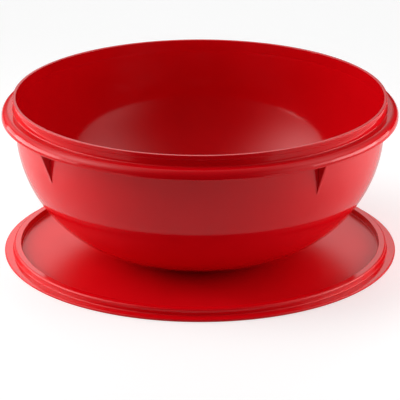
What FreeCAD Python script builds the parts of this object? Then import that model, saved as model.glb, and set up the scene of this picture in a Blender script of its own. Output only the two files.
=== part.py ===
"""Proving bowl standing on its own press-on lid.

Millimetres, +Z up. The origin is on the bowl's axis, on the surface that the lid lies on.
The bowl and the lid are solids of revolution about Z, and the bowl has gussets under its flange.
"""
import FreeCAD, Part
import math
import os

V = FreeCAD.Vector

# Bowl: overall sizes
bowl_height = 134.3            # foot to top of rim
flange_radius = 166.0          # outside of the flange, and of the lid
wall_thickness = 2.2
wall_taper_deg = 3.7           # lean of the upper wall from upright
wall_inset = 0.5               # outside of the wall under the flange, in from the rim's outside
belly_radius = 106.9           # outside arc from the wall down to the base

# Bowl: rim
rim_thickness = 2.4
rim_height = 9.6               # top of the flange to top of the rim
rim_edge_radius = 0.6
rim_foot_radius = 0.9          # fillet where the rim stands on the flange
bead_proud = 0.4               # snap bead round the rim's outside
bead_height = 3.2
ledge_rise = 1.8               # sloping ledge inside, from the wall out to the rim
ledge_radius = 0.8

# Bowl: flange and its lip
flange_reach = 10.0            # from the rim's outside to the flange's outside
flange_thickness = 2.4
flange_edge_radius = 5.6       # shoulder from the flange down to the lip
flange_root_radius = 0.7       # fillet where the flange's underside meets the wall
lip_height = 8.0               # top of the flange to the lip's lower edge
lip_thickness = 2.2
lip_edge_radius = 0.9

# Bowl: gussets
gusset_count = 4
gusset_height = 28.0           # below the lip's lower edge
gusset_thickness = 2.6
gusset_sink = 0.3              # outer end of the gusset, sunk into the lip
gusset_turn_deg = -51.9        # first gusset, seen from above and measured from -Y

# Bowl: foot
foot_radius = 62.0
foot_width = 4.5
foot_edge_radius = 0.8
base_rise = 1.6                # underside of the base above the foot

# Lid
lid_flange_thickness = 2.2
lid_edge_radius = 0.8
lid_wall = 1.7                 # walls of the hollow ring bead
lid_bead_height = 8.0          # surface to top of the bead
lid_bead_outer_edge_radius = 1.7
lid_bead_inner_edge_radius = 0.8
lid_bead_foot_radius = 0.8
panel_top = 2.7                # top of the panel above the surface
panel_thickness = 2.0
channel_edge_radius = 0.6      # fillets in the channel that takes the rim

# Fits
rim_clearance = 0.25           # rim to channel, each side
snap_catch = 0.2               # overlap of the channel's snap lip on the rim's bead
snap_lip_height = 1.6

# Places that follow from the sizes
foot_level = panel_top
rim_level = foot_level + bowl_height
flange_level = rim_level - rim_height
flange_underside = flange_level - flange_thickness
lip_level = flange_level - lip_height
base_level = foot_level + base_rise
base_inside_level = base_level + wall_thickness
rim_outer_radius = flange_radius - flange_reach
rim_inner_radius = rim_outer_radius - rim_thickness
bead_radius = rim_outer_radius + bead_proud
wall_top_radius = rim_outer_radius - wall_inset
lip_inner_radius = flange_radius - lip_thickness
lid_radius = flange_radius
taper = math.tan(math.radians(wall_taper_deg))
wall_run = wall_thickness / math.cos(math.radians(wall_taper_deg))   # wall measured level
base_corner_radius = wall_top_radius - (flange_underside - base_level) * taper
base_flat_radius = base_corner_radius - belly_radius * math.tan(math.radians(90 - wall_taper_deg) / 2)
arc_level = base_level + belly_radius                                # centre of the belly arc


def wall_outside(level):
    """Radius of the straight upper wall's outside, carried on to any level."""
    return wall_top_radius - (flange_underside - level) * taper


def wall_inside(level):
    """Radius of the straight upper wall's inside, carried on to any level."""
    return wall_outside(level) - wall_run


def bowl_outside(level):
    """Radius of the bowl's outside at a level, on the straight wall or on the arc below it."""
    drop = arc_level - level
    if drop <= belly_radius * math.sin(math.radians(wall_taper_deg)):
        return wall_outside(level)
    return base_flat_radius + math.sqrt(belly_radius ** 2 - drop ** 2)


def base_underside(radius):
    """Level of the base's underside: flat in the middle, then rising on the arc to the wall."""
    run = max(radius - base_flat_radius, 0)
    return arc_level - math.sqrt(belly_radius ** 2 - run ** 2)


def rounded_section(corners):
    """Closed face in the XZ plane from (radius, level, corner radius) points, with arcs at the corners."""
    points = [V(radius, 0, level) for radius, level, rounding in corners]
    count = len(points)
    starts, ends, middles = [], [], []
    for index, (radius, level, rounding) in enumerate(corners):
        point = points[index]
        back = (points[index - 1] - point).normalize()
        ahead = (points[(index + 1) % count] - point).normalize()
        half_angle = back.getAngle(ahead) / 2
        reach = rounding / math.tan(half_angle)
        bisector = (back + ahead).normalize()
        starts.append(point + back * reach)
        ends.append(point + ahead * reach)
        middles.append(point + bisector * (rounding / math.sin(half_angle) - rounding))
    edges = []
    for index, (radius, level, rounding) in enumerate(corners):
        if rounding:
            edges.append(Part.Arc(starts[index], middles[index], ends[index]).toShape())
        next_start = starts[(index + 1) % count]
        edges.append(Part.LineSegment(ends[index], next_start).toShape())
    return Part.Face(Part.Wire(edges))


def turned(corners):
    """Solid of revolution about Z from a rounded section."""
    return rounded_section(corners).revolve(V(0, 0, 0), V(0, 0, 1), 360)


def bowl_shell():
    """Wall, base, flange, lip and rim as one turned section."""
    bead_level = rim_level - bead_height
    ledge_bottom = flange_level - ledge_rise
    shoulder_inner_radius = flange_edge_radius - lip_thickness
    corners = [
        (0, base_level, 0),
        (base_corner_radius, base_level, belly_radius),
        (wall_top_radius, flange_underside, flange_root_radius),
        (lip_inner_radius, flange_underside, shoulder_inner_radius),
        (lip_inner_radius, lip_level, lip_edge_radius),
        (flange_radius, lip_level, lip_edge_radius),
        (flange_radius, flange_level, flange_edge_radius),
        (rim_outer_radius, flange_level, rim_foot_radius),
        (rim_outer_radius, bead_level - bead_proud, 0),
        (bead_radius, bead_level, 0),
        (bead_radius, rim_level, rim_edge_radius),
        (rim_inner_radius, rim_level, rim_edge_radius),
        (rim_inner_radius, flange_level, ledge_radius),
        (wall_inside(ledge_bottom), ledge_bottom, ledge_radius),
        (wall_inside(base_inside_level), base_inside_level, belly_radius - wall_thickness),
        (0, base_inside_level, 0),
    ]
    return turned(corners)


def foot_ring():
    """Ring under the base that the bowl stands on, sunk into the base above it."""
    inner_radius = foot_radius - foot_width
    sunk = wall_thickness / 2
    corners = [
        (inner_radius, foot_level, foot_edge_radius),
        (foot_radius, foot_level, foot_edge_radius),
        (foot_radius, base_underside(foot_radius) + sunk, 0),
        (inner_radius, base_underside(inner_radius) + sunk, 0),
    ]
    return turned(corners)


def gusset():
    """Thin triangular rib in the plane of +X, from inside the lip down to a point on the wall."""
    tip_level = lip_level - gusset_height
    sunk = wall_run / 2
    outer_radius = lip_inner_radius + gusset_sink
    outline = [
        V(wall_top_radius - sunk, 0, flange_underside),
        V(outer_radius, 0, flange_underside),
        V(outer_radius, 0, lip_level + lip_edge_radius),
        V(bowl_outside(tip_level), 0, tip_level),
        V(bowl_outside(tip_level) - sunk, 0, tip_level),
    ]
    plate = Part.Face(Part.makePolygon(outline + outline[:1]))
    plate.translate(V(0, -gusset_thickness / 2, 0))
    return plate.extrude(V(0, gusset_thickness, 0))


def bowl():
    """The whole bowl, with its gussets spaced evenly round it."""
    ribs = []
    for index in range(gusset_count):
        rib = gusset()
        turn = gusset_turn_deg - 90 + index * 360 / gusset_count
        rib.rotate(V(0, 0, 0), V(0, 0, 1), turn)
        ribs.append(rib)
    return bowl_shell().fuse([foot_ring()] + ribs).removeSplitter()


def lid():
    """Flat panel, hollow ring bead with the channel for the rim, and flat flange, as one turned section."""
    channel_inner = rim_inner_radius - rim_clearance
    channel_outer = bead_radius + rim_clearance
    channel_top = lid_bead_height - lid_wall
    snap_radius = bead_radius - snap_catch
    snap_step = channel_outer - snap_radius
    bead_outer = channel_outer + lid_wall
    bead_inner = channel_inner - lid_wall
    panel_underside = panel_top - panel_thickness
    corners = [
        (0, panel_underside, 0),
        (channel_inner, panel_underside, channel_edge_radius),
        (channel_inner, channel_top, channel_edge_radius),
        (channel_outer, channel_top, channel_edge_radius),
        (channel_outer, snap_lip_height + snap_step, 0),
        (snap_radius, snap_lip_height, 0),
        (snap_radius, 0, channel_edge_radius),
        (lid_radius, 0, lid_edge_radius),
        (lid_radius, lid_flange_thickness, lid_edge_radius),
        (bead_outer, lid_flange_thickness, lid_bead_foot_radius),
        (bead_outer, lid_bead_height, lid_bead_outer_edge_radius),
        (bead_inner, lid_bead_height, lid_bead_inner_edge_radius),
        (bead_inner, panel_top, lid_bead_foot_radius),
        (0, panel_top, 0),
    ]
    return turned(corners)


os.makedirs("parts", exist_ok=True)
for node, shape in (("bowl", bowl()), ("lid", lid())):
    shape.exportStep("parts/" + node + ".step")
    print(node, "solids", len(shape.Solids), "valid", shape.isValid(), "volume", round(shape.Volume))
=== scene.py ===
"""Proving bowl standing on its own lid, in glossy and satin red plastic, on a plain pale floor."""
import math

import bpy
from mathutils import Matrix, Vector


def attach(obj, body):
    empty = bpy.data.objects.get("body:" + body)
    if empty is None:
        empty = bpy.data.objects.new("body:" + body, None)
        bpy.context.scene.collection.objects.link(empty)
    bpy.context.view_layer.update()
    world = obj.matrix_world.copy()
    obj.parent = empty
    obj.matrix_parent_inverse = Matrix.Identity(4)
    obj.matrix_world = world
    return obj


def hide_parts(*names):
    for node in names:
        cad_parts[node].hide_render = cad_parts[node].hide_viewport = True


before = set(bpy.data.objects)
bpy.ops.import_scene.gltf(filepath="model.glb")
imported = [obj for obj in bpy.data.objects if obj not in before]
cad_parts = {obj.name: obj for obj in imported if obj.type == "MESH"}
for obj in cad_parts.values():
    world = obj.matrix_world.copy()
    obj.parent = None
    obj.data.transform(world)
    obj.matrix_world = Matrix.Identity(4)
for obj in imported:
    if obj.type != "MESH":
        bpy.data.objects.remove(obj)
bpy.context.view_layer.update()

MM = 0.001

# The sizes of the mouldings are in millimetres, as in the part's source
# Bowl: levels above the surface that the lid lies on
FOOT_LEVEL = 2.7
BASE_LEVEL = 4.3
BASE_INSIDE = 6.5
GUSSET_TIP_LEVEL = 91.4
LIP_LEVEL = 119.4
FLANGE_UNDERSIDE = 125.0
LEDGE_LEVEL = 125.6
FLANGE_LEVEL = 127.4
BEAD_FOOT_LEVEL = 133.4
BEAD_LEVEL = 133.8
RIM_LEVEL = 137.0

# Bowl: radii from the axis
FOOT_RADIUS = 62.0
RIM_INNER_RADIUS = 153.6
WALL_TOP_RADIUS = 155.5
RIM_OUTER_RADIUS = 156.0
BEAD_RADIUS = 156.4
LIP_INNER_RADIUS = 163.8
FLANGE_RADIUS = 166.0

# Bowl: wall and foot
WALL = 2.2
WALL_TAPER = math.radians(3.7)
BELLY_RADIUS = 106.9
FOOT_WIDTH = 4.5
FOOT_INNER_SINK = 1.1
FOOT_OUTER_SINK = 2.0

# Bowl: gussets, sunk a little into the wall, the flange and the lip
GUSSET_COUNT = 4
GUSSET_TURN = math.radians(-51.9)
GUSSET_THICKNESS = 2.6
GUSSET_EDGE = 0.35
GUSSET_EDGE_STEPS = 3
WALL_SINK = 1.1
FLANGE_SINK = 0.6
LIP_SINK = 0.3

# Bowl: corner roundings
FLANGE_ROOT_ROUNDING = 0.7
SHOULDER_INNER_ROUNDING = 3.4
SHOULDER_ROUNDING = 5.6
LIP_ROUNDING = 0.9
RIM_FOOT_ROUNDING = 0.9
BEAD_ROUNDING = 0.4
RIM_ROUNDING = 0.6
LEDGE_ROUNDING = 0.8
FOOT_ROUNDING = 0.8

# Lid: levels, wall and fits
PANEL_UNDERSIDE = 0.7
PANEL_LEVEL = 2.7
SNAP_LEVEL = 1.6
SNAP_STEP_LEVEL = 2.05
CHANNEL_LEVEL = 6.3
LID_FLANGE_LEVEL = 2.2
LID_BEAD_LEVEL = 8.0
LID_WALL = 1.7
RIM_CLEARANCE = 0.25
SNAP_CATCH = 0.2

# Lid: corner roundings
CHANNEL_ROUNDING = 0.6
SNAP_ROUNDING = 0.2
LID_EDGE_ROUNDING = 0.8
LID_BEAD_ROUNDING = 0.8
LID_BEAD_OUTER_ROUNDING = 1.7

# Fineness of the meshes: an arc has its sides for each ARC_TURN in radians, and more if it is large
STEPS_ROUND = 288
FEWEST_ARC_SIDES = 5
ARC_SIDES = 6
ARC_SIDES_BY_SIZE = 3
ARC_TURN = 1.9
ARC_SUPPORT = 0.3
WELD = 0.004
SHARP_EDGE = math.radians(32)

# Red plastic: colours, and the scale and detail of each noise
DARKER_RED = (0.70, 0.0012, 0.0052, 1)
LIGHTER_RED = (0.76, 0.0018, 0.0068, 1)
REFLECTION_TINT = (1, 0.72, 0.72, 1)
PLASTIC_IOR = 1.45
DRIFT = (14, 4)
DARKER_AT = 0.3
LIGHTER_AT = 0.7
HAZE = (60, 6)
HAZE_DEPTH = 0.015
GRAIN = (1600, 2)
GRAIN_STRENGTH = 0.3

# Finishes: roughness, depth of the grain in metres, and the satin panel's radius and fade in millimetres
BOWL_ROUGHNESS = 0.09
BOWL_GRAIN = 0.000002
LID_ROUGHNESS = 0.12
LID_GRAIN = 0.000003
SATIN_ROUGHNESS = 0.33
SATIN_RADIUS = 151
SATIN_FADE = 0.6

# Floor, which ends in front just outside the picture, and its glow to the camera and in reflections
WHITE = (1, 1, 1, 1)
FLOOR_SIZE = 3
FLOOR_PLACE = (0, 1.08, 0)
FLOOR_COLOUR = (0.7, 0.7, 0.7, 1)
GLOW_TO_CAMERA = 0.4
GLOW_IN_REFLECTIONS = 0.08

# Lobes of soft light: degrees from the front round to the right, degrees up, narrowness, strength
SOFT_LIGHT = [
    (0, 60, 3, 0.07),
    (62, 4, 14, 1.15),
    (300, 6, 14, 0.30),
    (88, 40, 12, 1.55),
    (272, 38, 12, 3.60),
    (130, 52, 10, 0.50),
    (235, 52, 10, 1.00),
    (150, 22, 30, 0.05),
    (180, 32, 48, 2.30),
    (210, 22, 30, 0.60),
    (183, 20, 200, 0.50),
]

# Soft boxes on the left and right: place across, near end, far end, bottom, top, strength
SOFT_BOXES = [
    (-0.42, -0.24, -0.15, 0.05, 0.21, 2.2),
    (-0.42, -0.15, 0.14, 0.05, 0.21, 4.7),
    (-0.42, 0.14, 0.28, 0.05, 0.21, 2.0),
    (0.42, -0.29, -0.19, 0.05, 0.19, 2.2),
    (0.42, -0.19, 0.06, 0.05, 0.19, 5.0),
    (0.42, 0.06, 0.20, 0.05, 0.19, 2.0),
]

# Camera, level from left to right and looking down by its dip
SENSOR_WIDTH = 36
LENS = 243.783
CAMERA_PLACE = (0, -2.153099, 0.840545)
CAMERA_DIP = 0.355017


def wall_outside(level):
    """Radius of the straight upper wall's outside, carried on to any level."""
    return WALL_TOP_RADIUS - (FLANGE_UNDERSIDE - level) * math.tan(WALL_TAPER)


def wall_inside(level):
    """Radius of the straight upper wall's inside, carried on to any level."""
    return wall_outside(level) - WALL / math.cos(WALL_TAPER)


def rounded(corners):
    """Outline of (radius, level) points from (radius, level, rounding) corners, with an arc at a rounding."""
    outline = []
    for index, (radius, level, rounding) in enumerate(corners):
        point = Vector((radius, level))
        if not rounding:
            outline.append(point)
            continue
        back = (Vector(corners[index - 1][:2]) - point).normalized()
        ahead = (Vector(corners[index + 1][:2]) - point).normalized()
        half = back.angle(ahead) / 2
        reach = rounding / math.tan(half)
        centre = point + (back + ahead).normalized() * (rounding / math.sin(half))
        start = point + back * reach - centre
        turn = math.pi - 2 * half
        if back.x * ahead.y - back.y * ahead.x > 0:
            turn = -turn
        fineness = ARC_SIDES + ARC_SIDES_BY_SIZE * math.sqrt(rounding)
        sides = max(FEWEST_ARC_SIDES, round(abs(turn) * fineness / ARC_TURN))
        support = ARC_SUPPORT * min(rounding, 1)
        outline.append(centre + start + back * support)
        for step in range(sides + 1):
            angle = turn * step / sides
            cos, sin = math.cos(angle), math.sin(angle)
            outline.append(centre + Vector((start.x * cos - start.y * sin, start.x * sin + start.y * cos)))
        outline.append(point + ahead * (reach + support))
    return outline


def drawn_line(name, places):
    """New piece in edit mode: one vertex drawn along a row of places in millimetres."""
    bpy.ops.object.select_all(action="DESELECT")
    bpy.ops.mesh.primitive_plane_add(size=MM)
    piece = bpy.context.object
    piece.name = piece.data.name = name
    bpy.ops.object.mode_set(mode="EDIT")
    bpy.ops.mesh.select_all(action="SELECT")
    bpy.ops.mesh.merge(type="CENTER")
    bpy.ops.transform.translate(value=places[0] * MM)
    for here, there in zip(places, places[1:]):
        bpy.ops.mesh.extrude_region_move(TRANSFORM_OT_translate={"value": (there - here) * MM})
    return piece


def turned(name, outline):
    """Piece spun about the bowl's axis from an outline of (radius, level) points."""
    piece = drawn_line(name, [Vector((point.x, 0, point.y)) for point in outline])
    bpy.ops.mesh.select_all(action="SELECT")
    bpy.ops.mesh.spin(steps=STEPS_ROUND, angle=2 * math.pi, center=(0, 0, 0), axis=(0, 0, 1))
    bpy.ops.mesh.select_all(action="SELECT")
    bpy.ops.mesh.remove_doubles(threshold=WELD * MM)
    bpy.ops.mesh.normals_make_consistent(inside=False)
    bpy.ops.object.mode_set(mode="OBJECT")
    return piece


def bowl_shell():
    """Wall, base, flange, lip and rim."""
    return turned("bowl_shell", rounded([
        (0, BASE_LEVEL, 0),
        (wall_outside(BASE_LEVEL), BASE_LEVEL, BELLY_RADIUS),
        (WALL_TOP_RADIUS, FLANGE_UNDERSIDE, FLANGE_ROOT_ROUNDING),
        (LIP_INNER_RADIUS, FLANGE_UNDERSIDE, SHOULDER_INNER_ROUNDING),
        (LIP_INNER_RADIUS, LIP_LEVEL, LIP_ROUNDING),
        (FLANGE_RADIUS, LIP_LEVEL, LIP_ROUNDING),
        (FLANGE_RADIUS, FLANGE_LEVEL, SHOULDER_ROUNDING),
        (RIM_OUTER_RADIUS, FLANGE_LEVEL, RIM_FOOT_ROUNDING),
        (RIM_OUTER_RADIUS, BEAD_FOOT_LEVEL, BEAD_ROUNDING),
        (BEAD_RADIUS, BEAD_LEVEL, BEAD_ROUNDING),
        (BEAD_RADIUS, RIM_LEVEL, RIM_ROUNDING),
        (RIM_INNER_RADIUS, RIM_LEVEL, RIM_ROUNDING),
        (RIM_INNER_RADIUS, FLANGE_LEVEL, LEDGE_ROUNDING),
        (wall_inside(LEDGE_LEVEL), LEDGE_LEVEL, LEDGE_ROUNDING),
        (wall_inside(BASE_INSIDE), BASE_INSIDE, BELLY_RADIUS - WALL),
        (0, BASE_INSIDE, 0),
    ]))


def foot_ring():
    """Ring that the bowl stands on, sunk into its base."""
    inner = FOOT_RADIUS - FOOT_WIDTH
    outline = rounded([
        (inner, BASE_LEVEL + FOOT_INNER_SINK, 0),
        (inner, FOOT_LEVEL, FOOT_ROUNDING),
        (FOOT_RADIUS, FOOT_LEVEL, FOOT_ROUNDING),
        (FOOT_RADIUS, BASE_LEVEL + FOOT_OUTER_SINK, 0),
    ])
    return turned("foot_ring", outline + outline[:1])


def gussets():
    """Thin triangular ribs under the flange, with softened edges: one, and its copies spun round the axis."""
    out = Vector((math.sin(GUSSET_TURN), -math.cos(GUSSET_TURN), 0))
    side = Vector((math.cos(GUSSET_TURN), math.sin(GUSSET_TURN), 0))
    arc_radius = wall_outside(BASE_LEVEL) - BELLY_RADIUS * math.tan((math.pi / 2 - WALL_TAPER) / 2)
    drop = BASE_LEVEL + BELLY_RADIUS - GUSSET_TIP_LEVEL
    tip_radius = arc_radius + math.sqrt(BELLY_RADIUS ** 2 - drop ** 2)
    corners = [
        (WALL_TOP_RADIUS - WALL_SINK, FLANGE_UNDERSIDE + FLANGE_SINK),
        (LIP_INNER_RADIUS + LIP_SINK, FLANGE_UNDERSIDE),
        (LIP_INNER_RADIUS + LIP_SINK, LIP_LEVEL + LIP_ROUNDING),
        (tip_radius, GUSSET_TIP_LEVEL),
        (tip_radius - WALL_SINK, GUSSET_TIP_LEVEL),
    ]
    near = side * (-GUSSET_THICKNESS / 2)
    places = [out * radius + Vector((0, 0, level)) + near for radius, level in corners]
    piece = drawn_line("gussets", places)
    bpy.ops.mesh.select_all(action="SELECT")
    bpy.ops.mesh.edge_face_add()
    bpy.ops.mesh.extrude_region_move(TRANSFORM_OT_translate={"value": side * GUSSET_THICKNESS * MM})
    bpy.ops.mesh.select_all(action="SELECT")
    bpy.ops.mesh.normals_make_consistent(inside=False)
    bpy.ops.mesh.bevel(offset=GUSSET_EDGE * MM, segments=GUSSET_EDGE_STEPS, affect="EDGES")
    bpy.ops.mesh.select_all(action="SELECT")
    copies = GUSSET_COUNT - 1
    turn = 2 * math.pi * copies / GUSSET_COUNT
    bpy.ops.mesh.spin(steps=copies, dupli=True, angle=turn, center=(0, 0, 0), axis=(0, 0, 1))
    bpy.ops.object.mode_set(mode="OBJECT")
    return piece


def lid_moulding():
    """Flat panel, hollow ring bead and flat flange."""
    inner = RIM_INNER_RADIUS - RIM_CLEARANCE
    outer = BEAD_RADIUS + RIM_CLEARANCE
    snap = BEAD_RADIUS - SNAP_CATCH
    return turned("lid_moulding", rounded([
        (0, PANEL_UNDERSIDE, 0),
        (inner, PANEL_UNDERSIDE, CHANNEL_ROUNDING),
        (inner, CHANNEL_LEVEL, CHANNEL_ROUNDING),
        (outer, CHANNEL_LEVEL, CHANNEL_ROUNDING),
        (outer, SNAP_STEP_LEVEL, SNAP_ROUNDING),
        (snap, SNAP_LEVEL, SNAP_ROUNDING),
        (snap, 0, CHANNEL_ROUNDING),
        (FLANGE_RADIUS, 0, LID_EDGE_ROUNDING),
        (FLANGE_RADIUS, LID_FLANGE_LEVEL, LID_EDGE_ROUNDING),
        (outer + LID_WALL, LID_FLANGE_LEVEL, LID_BEAD_ROUNDING),
        (outer + LID_WALL, LID_BEAD_LEVEL, LID_BEAD_OUTER_ROUNDING),
        (inner - LID_WALL, LID_BEAD_LEVEL, LID_BEAD_ROUNDING),
        (inner - LID_WALL, PANEL_LEVEL, LID_BEAD_ROUNDING),
        (0, PANEL_LEVEL, 0),
    ]))


def joined(name, pieces):
    """One piece from one or more, with its rounded edges shaded smooth."""
    bpy.ops.object.select_all(action="DESELECT")
    for piece in pieces:
        piece.select_set(True)
    bpy.context.view_layer.objects.active = pieces[0]
    if len(pieces) > 1:
        bpy.ops.object.join()
    whole = bpy.context.view_layer.objects.active
    whole.name = whole.data.name = name
    bpy.ops.object.shade_smooth_by_angle(angle=SHARP_EDGE)
    return whole


def reckoned(tree, operation, *values):
    """Output of a new maths node on the values, each a number or another node's output."""
    node = tree.nodes.new("ShaderNodeMath")
    node.operation = operation
    for socket, value in zip(node.inputs, values):
        if isinstance(value, bpy.types.NodeSocket):
            tree.links.new(value, socket)
        else:
            socket.default_value = value
    return node.outputs[0]


def reckoned_vector(tree, operation, vector, other=(0, 0, 0)):
    """Outputs of a new vector maths node on another node's vector and a fixed one."""
    node = tree.nodes.new("ShaderNodeVectorMath")
    node.operation = operation
    node.inputs[1].default_value = other
    tree.links.new(vector, node.inputs[0])
    return node.outputs


def ranged(tree, value, low, high, at_low, at_high):
    """Output that goes from at_low to at_high while the value goes from low to high."""
    node = tree.nodes.new("ShaderNodeMapRange")
    node.inputs["From Min"].default_value = low
    node.inputs["From Max"].default_value = high
    node.inputs["To Min"].default_value = at_low
    node.inputs["To Max"].default_value = at_high
    tree.links.new(value, node.inputs["Value"])
    return node.outputs["Result"]


def noise(tree, place, scale, detail):
    """Output of a new noise texture."""
    node = tree.nodes.new("ShaderNodeTexNoise")
    node.inputs["Scale"].default_value = scale
    node.inputs["Detail"].default_value = detail
    tree.links.new(place, node.inputs["Vector"])
    return node.outputs["Fac"]


def red_plastic(name, roughness, grain_depth, satin_radius=0, satin_roughness=0):
    """Red plastic with faint drifts of colour, a fine mould grain and, if it has one, a satin middle."""
    material = bpy.data.materials.new(name)
    material.use_nodes = True
    tree = material.node_tree
    plastic = tree.nodes["Principled BSDF"]
    plastic.inputs["IOR"].default_value = PLASTIC_IOR
    plastic.inputs["Specular Tint"].default_value = REFLECTION_TINT
    place = tree.nodes.new("ShaderNodeTexCoord").outputs["Object"]

    reds = tree.nodes.new("ShaderNodeValToRGB")
    darker, lighter = reds.color_ramp.elements
    darker.position, darker.color = DARKER_AT, DARKER_RED
    lighter.position, lighter.color = LIGHTER_AT, LIGHTER_RED
    tree.links.new(noise(tree, place, *DRIFT), reds.inputs["Fac"])
    tree.links.new(reds.outputs["Color"], plastic.inputs["Base Color"])

    finish = roughness
    if satin_radius:
        level = reckoned_vector(tree, "MULTIPLY", place, (1, 1, 0))["Vector"]
        reach = reckoned_vector(tree, "LENGTH", level)["Value"]
        fade_end = satin_radius + SATIN_FADE
        finish = ranged(tree, reach, satin_radius * MM, fade_end * MM, satin_roughness, roughness)
    haze = ranged(tree, noise(tree, place, *HAZE), 0, 1, -HAZE_DEPTH, HAZE_DEPTH)
    tree.links.new(reckoned(tree, "ADD", haze, finish), plastic.inputs["Roughness"])

    relief = tree.nodes.new("ShaderNodeBump")
    relief.inputs["Strength"].default_value = GRAIN_STRENGTH
    relief.inputs["Distance"].default_value = grain_depth
    tree.links.new(noise(tree, place, *GRAIN), relief.inputs["Height"])
    tree.links.new(relief.outputs["Normal"], plastic.inputs["Normal"])
    return material


def floor_finish():
    """Matt pale grey with a glow that makes it white to the camera, and a faint one in reflections."""
    material = bpy.data.materials.new("pale_floor")
    material.use_nodes = True
    tree = material.node_tree
    matt = tree.nodes["Principled BSDF"]
    matt.inputs["Base Color"].default_value = FLOOR_COLOUR
    matt.inputs["Roughness"].default_value = 1
    matt.inputs["Specular IOR Level"].default_value = 0
    matt.inputs["Emission Color"].default_value = WHITE
    ray = tree.nodes.new("ShaderNodeLightPath").outputs
    mirrored = reckoned(tree, "MAXIMUM", ray["Is Glossy Ray"], ray["Is Transmission Ray"])
    faint = reckoned(tree, "MULTIPLY", mirrored, GLOW_IN_REFLECTIONS)
    glow = reckoned(tree, "MULTIPLY_ADD", ray["Is Camera Ray"], GLOW_TO_CAMERA, faint)
    tree.links.new(glow, matt.inputs["Emission Strength"])
    return material


def soft_box(across, near, far, bottom, top, strength):
    """Rectangular lamp that faces the bowl from one side."""
    lamp = bpy.data.lights.new("soft_box", "AREA")
    lamp.shape = "RECTANGLE"
    lamp.size = top - bottom
    lamp.size_y = far - near
    lamp.energy = math.pi * lamp.size * lamp.size_y * strength
    box = bpy.data.objects.new("soft_box", lamp)
    box.location = (across, (near + far) / 2, (bottom + top) / 2)
    box.rotation_euler = (0, math.copysign(math.pi / 2, across), 0)
    bpy.context.scene.collection.objects.link(box)


def soft_studio():
    """World that lights the object from its lobes and is white to the camera."""
    world = bpy.data.worlds.new("soft_studio")
    world.use_nodes = True
    tree = world.node_tree
    way = tree.nodes.new("ShaderNodeTexCoord").outputs["Generated"]
    glow = 0
    for azimuth, elevation, narrowness, strength in SOFT_LIGHT:
        turn = math.radians(azimuth)
        rise = math.radians(elevation)
        towards = (math.cos(rise) * math.sin(turn), -math.cos(rise) * math.cos(turn), math.sin(rise))
        facing = reckoned_vector(tree, "DOT_PRODUCT", way, towards)["Value"]
        lobe = reckoned(tree, "POWER", reckoned(tree, "MAXIMUM", facing, 0), narrowness)
        glow = reckoned(tree, "MULTIPLY_ADD", lobe, strength, glow)
    ray = tree.nodes.new("ShaderNodeLightPath").outputs
    backdrop = tree.nodes.new("ShaderNodeMix")
    backdrop.data_type = "RGBA"
    backdrop.inputs["B"].default_value = WHITE
    tree.links.new(ray["Is Camera Ray"], backdrop.inputs["Factor"])
    tree.links.new(glow, backdrop.inputs["A"])
    tree.links.new(backdrop.outputs["Result"], tree.nodes["Background"].inputs["Color"])
    return world


# The two pieces, each with its finish
bowl = joined("proving_bowl", [bowl_shell(), foot_ring(), gussets()])
lid = joined("bowl_lid", [lid_moulding()])
bowl_finish = red_plastic("glossy_red_plastic", BOWL_ROUGHNESS, BOWL_GRAIN)
lid_finish = red_plastic(
    "red_plastic_with_satin_panel", LID_ROUGHNESS, LID_GRAIN, SATIN_RADIUS, SATIN_ROUGHNESS)
for piece, node, slot, finish in (
        (bowl, "bowl", "bowl_red", bowl_finish),
        (lid, "lid", "lid_red", lid_finish)):
    piece.data.materials.append(finish)
    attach(piece, node)
    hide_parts(node)

# Floor, light and camera
bpy.ops.object.select_all(action="DESELECT")
bpy.ops.mesh.primitive_plane_add(size=FLOOR_SIZE, location=FLOOR_PLACE)
floor = bpy.context.object
floor.name = floor.data.name = "pale_floor"
floor.data.materials.append(floor_finish())
for box in SOFT_BOXES:
    soft_box(*box)
bpy.context.scene.world = soft_studio()

camera = bpy.data.cameras.new("camera")
camera.sensor_width = SENSOR_WIDTH
camera.lens = LENS
viewer = bpy.data.objects.new("camera", camera)
viewer.location = CAMERA_PLACE
viewer.rotation_euler = (math.pi / 2 - CAMERA_DIP, 0, 0)
bpy.context.scene.collection.objects.link(viewer)
bpy.context.scene.camera = viewer
bpy.context.scene.view_settings.view_transform = "Standard"
